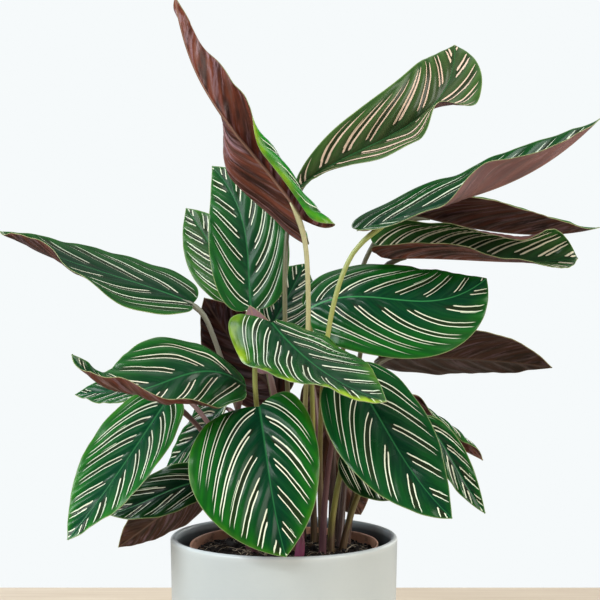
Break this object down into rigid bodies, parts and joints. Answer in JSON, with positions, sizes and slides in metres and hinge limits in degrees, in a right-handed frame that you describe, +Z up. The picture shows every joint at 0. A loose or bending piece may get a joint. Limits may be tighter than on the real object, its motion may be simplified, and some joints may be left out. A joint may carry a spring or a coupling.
{
  "type": "potted calathea",
  "caption": "Potted pin-stripe calathea: dark green leaves with paired pale stripes and maroon undersides, some rolled, on slender stalks, in a nursery pot inside a ceramic cover pot",
  "frame": {"origin": "centre of the flat underside of the cover pot, on the surface that it stands on", "axes": "+Z up, +X to the viewer's right and +Y away from the viewer, as the plant is seen from its front"},
  "size_m": [0.5859, 0.3058, 0.6583],
  "materials": {
    "cover_pot": "smooth satin glaze, light grey",
    "nursery_pot": "matte terracotta-brown injection-moulded plastic",
    "soil": "dark, crumbly potting mix with pale fibres",
    "leaf_upper": "glossy dark green with paired cream-pink pinstripes along the side veins",
    "leaf_underside": "satin maroon underside, the upper side glossy green with pinstripes",
    "stalk": "smooth satin, olive to purple",
    "shoot": "satin magenta sheath"
  },
  "bodies": {
    "root": {"cover_pot": "cover_pot", "nursery_pot": "nursery_pot", "soil": "soil", "young_shoot": "shoot", "spire_blade": "leaf_underside", "spire_stalk": "stalk", "paddle_blade": "leaf_upper", "paddle_stalk": "stalk", "sweep_blade": "leaf_underside", "sweep_stalk": "stalk", "wing_blade": "leaf_underside", "wing_stalk": "stalk", "scroll_blade": "leaf_upper", "scroll_stalk": "stalk", "upright_blade": "leaf_upper", "upright_stalk": "stalk", "outrigger_blade": "leaf_upper", "outrigger_stalk": "stalk", "broad_blade": "leaf_upper", "broad_stalk": "stalk", "dusk_blade": "leaf_underside", "dusk_stalk": "stalk", "centre_blade": "leaf_upper", "centre_stalk": "stalk", "curled_blade": "leaf_upper", "curled_stalk": "stalk", "sliver_blade": "leaf_upper", "sliver_stalk": "stalk", "front_blade": "leaf_upper", "front_stalk": "stalk", "shoulder_blade": "leaf_upper", "shoulder_stalk": "stalk", "droop_blade": "leaf_upper", "droop_stalk": "stalk", "strand_blade": "leaf_upper", "strand_stalk": "stalk", "ribbon_blade": "leaf_underside", "ribbon_stalk": "stalk", "nook_blade": "leaf_upper", "nook_stalk": "stalk", "bronze_blade": "leaf_underside", "bronze_stalk": "stalk", "shade_blade": "leaf_upper", "shade_stalk": "stalk", "plum_blade": "leaf_underside", "plum_stalk": "stalk", "back_left_blade": "leaf_upper", "back_left_stalk": "stalk", "back_right_blade": "leaf_upper", "back_right_stalk": "stalk", "maroon_blade": "leaf_underside", "maroon_stalk": "stalk", "lilac_blade": "leaf_underside", "lilac_stalk": "stalk", "pale_blade": "leaf_upper", "pale_stalk": "stalk"}
  },
  "joints": []
}
